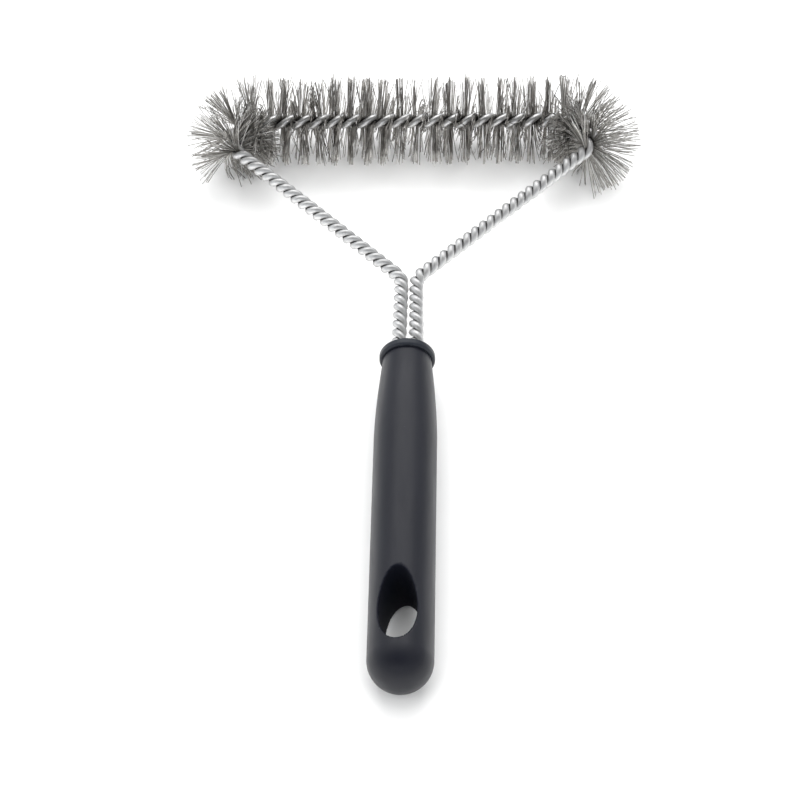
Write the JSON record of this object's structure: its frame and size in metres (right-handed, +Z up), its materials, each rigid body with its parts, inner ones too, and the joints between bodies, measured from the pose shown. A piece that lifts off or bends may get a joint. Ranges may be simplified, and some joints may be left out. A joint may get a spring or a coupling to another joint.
{
  "type": "grill cleaning brush",
  "caption": "Wire brush with a straight moulded handle and a triangular frame whose cross bar and corners carry bristles, for scrubbing grill grates.",
  "frame": {"origin": "on the ground, under the middle of the brush's bounding box", "axes": "+Y from the handle's round tail to the bristled bar, +X to the right seen from the tail, +Z up"},
  "size_m": [0.203, 0.3252, 0.0414],
  "materials": {
    "handle_plastic": "satin moulded black-grey plastic with a fine grain",
    "collar_plastic": "satin moulded dark plastic",
    "core_wire": "drawn galvanised steel wire, satin with bright highlights",
    "bristle_wire": "fine drawn steel wire, grey with bright glints"
  },
  "bodies": {
    "root": {"handle_body": "handle_plastic", "front_collar": "collar_plastic", "core_wire_a": "core_wire", "core_wire_b": "core_wire", "tuft_01": "bristle_wire", "tuft_02": "bristle_wire", "tuft_03": "bristle_wire", "tuft_04": "bristle_wire", "tuft_05": "bristle_wire", "tuft_06": "bristle_wire", "tuft_07": "bristle_wire", "tuft_08": "bristle_wire", "tuft_09": "bristle_wire", "tuft_10": "bristle_wire", "tuft_11": "bristle_wire", "tuft_12": "bristle_wire", "tuft_13": "bristle_wire", "tuft_14": "bristle_wire", "tuft_15": "bristle_wire", "tuft_16": "bristle_wire", "tuft_17": "bristle_wire", "tuft_18": "bristle_wire", "tuft_19": "bristle_wire", "tuft_20": "bristle_wire", "tuft_21": "bristle_wire", "tuft_22": "bristle_wire", "tuft_23": "bristle_wire", "tuft_24": "bristle_wire", "tuft_25": "bristle_wire", "tuft_26": "bristle_wire"}
  },
  "joints": []
}
